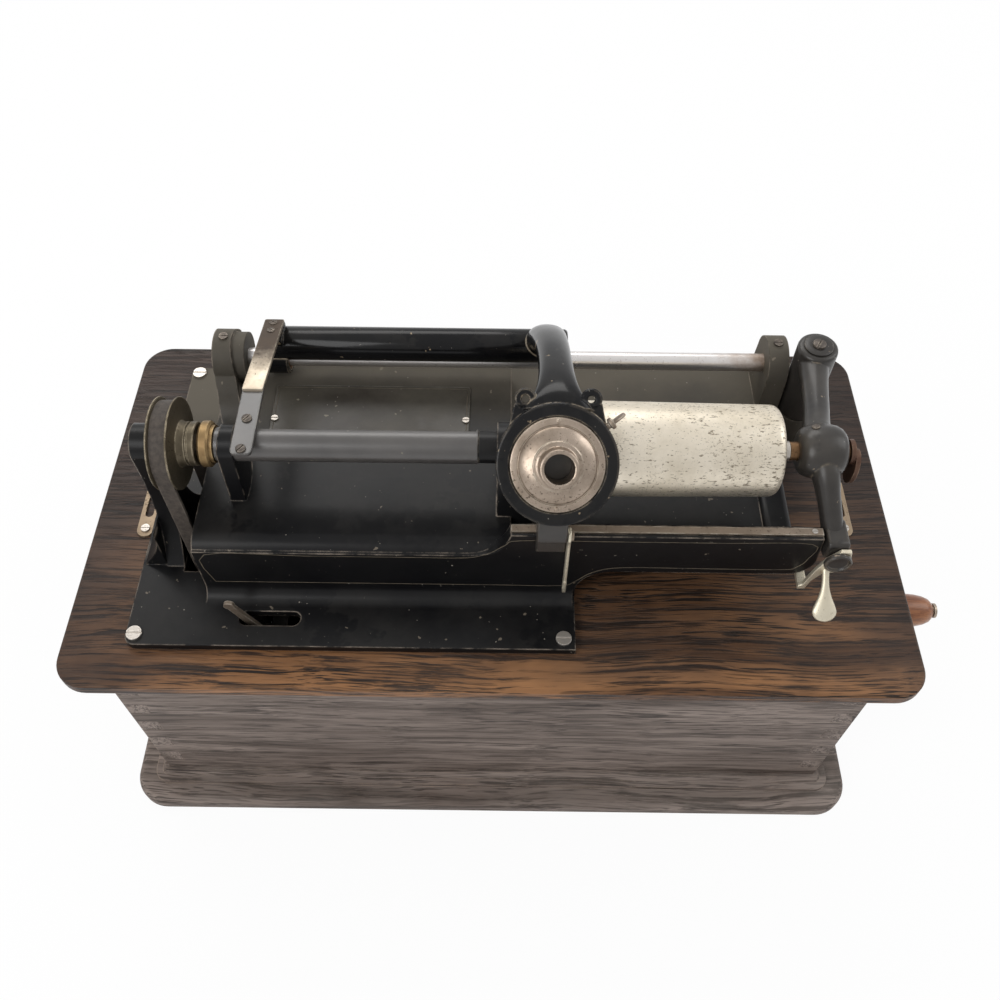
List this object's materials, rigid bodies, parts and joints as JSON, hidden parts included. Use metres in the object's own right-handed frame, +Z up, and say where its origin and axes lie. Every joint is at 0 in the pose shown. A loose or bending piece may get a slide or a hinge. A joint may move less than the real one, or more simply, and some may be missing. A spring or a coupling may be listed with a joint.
{
  "type": "cylinder phonograph",
  "caption": "Spring-driven cylinder phonograph: hinged works on an oak case, mandrel with feed screw, sliding reproducer carriage, swing-out end gate, belt drive and winding crank.",
  "frame": {"origin": "centre of the base moulding's underside", "axes": "+X to the user's right (the crank side), +Y away from the user towards the hinges, +Z up"},
  "size_m": [0.5074, 0.2364, 0.2889],
  "materials": {
    "case_wood": "satin",
    "board_wood": "satin",
    "inner_wood": "matt",
    "grip_wood": "polished",
    "japan_black": "gloss black japan",
    "nickel": "worn nickel plate",
    "steel": "bare",
    "spring_steel": "blued",
    "brass": "dull",
    "bronze": "dull",
    "frame_iron": "plain",
    "leather": "worn",
    "mica": "clear",
    "rubber": "matt"
  },
  "bodies": {
    "case": {"case_front": "case_wood", "case_back": "case_wood", "case_left": "case_wood", "case_right": "case_wood", "base_moulding": "case_wood", "bottom_board": "inner_wood", "corner_blocks": "inner_wood", "hinge_case_leaves": "steel", "crank_bush": "brass"},
    "works": {"top_board": "board_wood", "hinge_board_leaves": "steel", "catch_plates": "nickel", "deck_screws": "steel", "bedplate": "japan_black", "hood_plate": "japan_black", "plate_screws": "steel", "straight_edge": "steel", "back_rod": "steel", "post_screws": "steel", "screw_guard": "japan_black", "shaft_bushes": "bronze", "gate_pin": "nickel", "motor_frame": "frame_iron", "hanger_screws": "steel", "drive_belt": "leather"},
    "mandrel_group": {"feed_shaft": "steel", "mandrel": "nickel", "driven_pulley": "nickel", "shaft_collars": "brass"},
    "carriage": {"carriage_bushes": "bronze"},
    "arm": {"carriage_arm": "japan_black", "nut_spring": "nickel", "nut_strip": "brass", "half_nut": "brass", "strip_screws": "steel", "rest_block": "japan_black", "reproducer": "nickel", "diaphragm": "mica", "gaskets": "rubber"},
    "weight": {"floating_weight": "brass", "stylus_bar": "steel"},
    "lift_lever": {"lift_lever": "nickel"},
    "ring_screw": {"ring_screw": "nickel"},
    "gate": {"gate_arm": "japan_black", "centre_pin": "nickel"},
    "centre_lock": {"centre_lock": "brass"},
    "latch": {"gate_latch": "nickel"},
    "start_lever": {"start_lever": "steel", "brake_pad": "leather"},
    "drive": {"drive_shaft": "steel", "drive_pulley": "brass"},
    "intermediate": {"intermediate_gear": "brass"},
    "barrel": {"spring_barrel": "brass", "mainspring": "spring_steel"},
    "governor": {"governor": "steel", "governor_weight_set": "brass"},
    "winding": {"winding_arbor": "steel"},
    "pawl": {"pawl": "steel"},
    "crank": {"crank_arm": "nickel"},
    "grip": {"crank_grip": "grip_wood"}
  },
  "joints": [
    {"name": "lid_lift", "type": "hinge", "parent": "case", "child": "works", "pos_m": [0, 0.10115, 0.1491], "axis": [-1, 0, 0], "range_deg": [0, 85]},
    {"name": "mandrel_spin", "type": "hinge", "parent": "works", "child": "mandrel_group", "pos_m": [0, -0.024, 0.2429], "axis": [1, 0, 0], "continuous": true},
    {"name": "carriage_slide", "type": "slide", "parent": "works", "child": "carriage", "axis": [1, 0, 0], "range_m": [0, 0.1]},
    {"name": "arm_lift", "type": "hinge", "parent": "carriage", "child": "arm", "pos_m": [0, 0.053, 0.2217], "axis": [-1, 0, 0], "range_deg": [0, 70]},
    {"name": "weight_float", "type": "hinge", "parent": "arm", "child": "weight", "pos_m": [0.0285, -0.03807, 0.27351], "axis": [-1, 0, 0], "range_deg": [0, 4]},
    {"name": "lift_lever_turn", "type": "hinge", "parent": "arm", "child": "lift_lever", "pos_m": [0.029, -0.0661, 0.2318], "axis": [-1, 0, 0], "range_deg": [0, 70]},
    {"name": "ring_screw_turn", "type": "hinge", "parent": "arm", "child": "ring_screw", "pos_m": [0.04978, -0.03961, 0.27773], "axis": [0.788, 0.4429, 0.4277], "range_deg": [-180, 180]},
    {"name": "gate_swing", "type": "hinge", "parent": "works", "child": "gate", "pos_m": [0.165, 0.042, 0.2147], "axis": [0, 0, 1], "range_deg": [0, 110]},
    {"name": "centre_lock_turn", "type": "hinge", "parent": "gate", "child": "centre_lock", "pos_m": [0.172, -0.024, 0.2429], "axis": [1, 0, 0], "range_deg": [-90, 90]},
    {"name": "latch_turn", "type": "hinge", "parent": "gate", "child": "latch", "pos_m": [0.1615, -0.0674, 0.2167], "axis": [0, -1, 0], "range_deg": [0, 60]},
    {"name": "start_lever_turn", "type": "hinge", "parent": "works", "child": "start_lever", "pos_m": [-0.1115, -0.077, 0.1427], "axis": [0, 1, 0], "range_deg": [0, 48]},
    {"name": "drive_spin", "type": "hinge", "parent": "works", "child": "drive", "pos_m": [0, -0.024, 0.1047], "axis": [1, 0, 0], "continuous": true},
    {"name": "intermediate_spin", "type": "hinge", "parent": "works", "child": "intermediate", "pos_m": [0, -0.01385, 0.0686], "axis": [1, 0, 0], "continuous": true},
    {"name": "barrel_spin", "type": "hinge", "parent": "works", "child": "barrel", "pos_m": [0, 0.002, 0.1147], "axis": [1, 0, 0], "continuous": true},
    {"name": "governor_spin", "type": "hinge", "parent": "works", "child": "governor", "pos_m": [0, -0.04565, 0.1172], "axis": [1, 0, 0], "continuous": true},
    {"name": "winding_turn", "type": "hinge", "parent": "works", "child": "winding", "pos_m": [0, 0.002, 0.1147], "axis": [1, 0, 0], "continuous": true},
    {"name": "pawl_lift", "type": "hinge", "parent": "works", "child": "pawl", "pos_m": [0.02, 0.026, 0.1267], "axis": [1, 0, 0], "range_deg": [0, 20]},
    {"name": "crank_turn", "type": "hinge", "parent": "case", "child": "crank", "pos_m": [0, 0.002, 0.1147], "axis": [1, 0, 0], "continuous": true},
    {"name": "grip_spin", "type": "hinge", "parent": "crank", "child": "grip", "pos_m": [0.25, 0.002, 0.0447], "axis": [1, 0, 0], "continuous": true}
  ],
  "couplings": [
    {"joint": "drive_spin", "follows": "mandrel_spin", "ratio": 1},
    {"joint": "intermediate_spin", "follows": "mandrel_spin", "ratio": -0.2},
    {"joint": "barrel_spin", "follows": "mandrel_spin", "ratio": 0.029412},
    {"joint": "governor_spin", "follows": "mandrel_spin", "ratio": -4},
    {"joint": "winding_turn", "follows": "crank_turn", "ratio": 1}
  ]
}
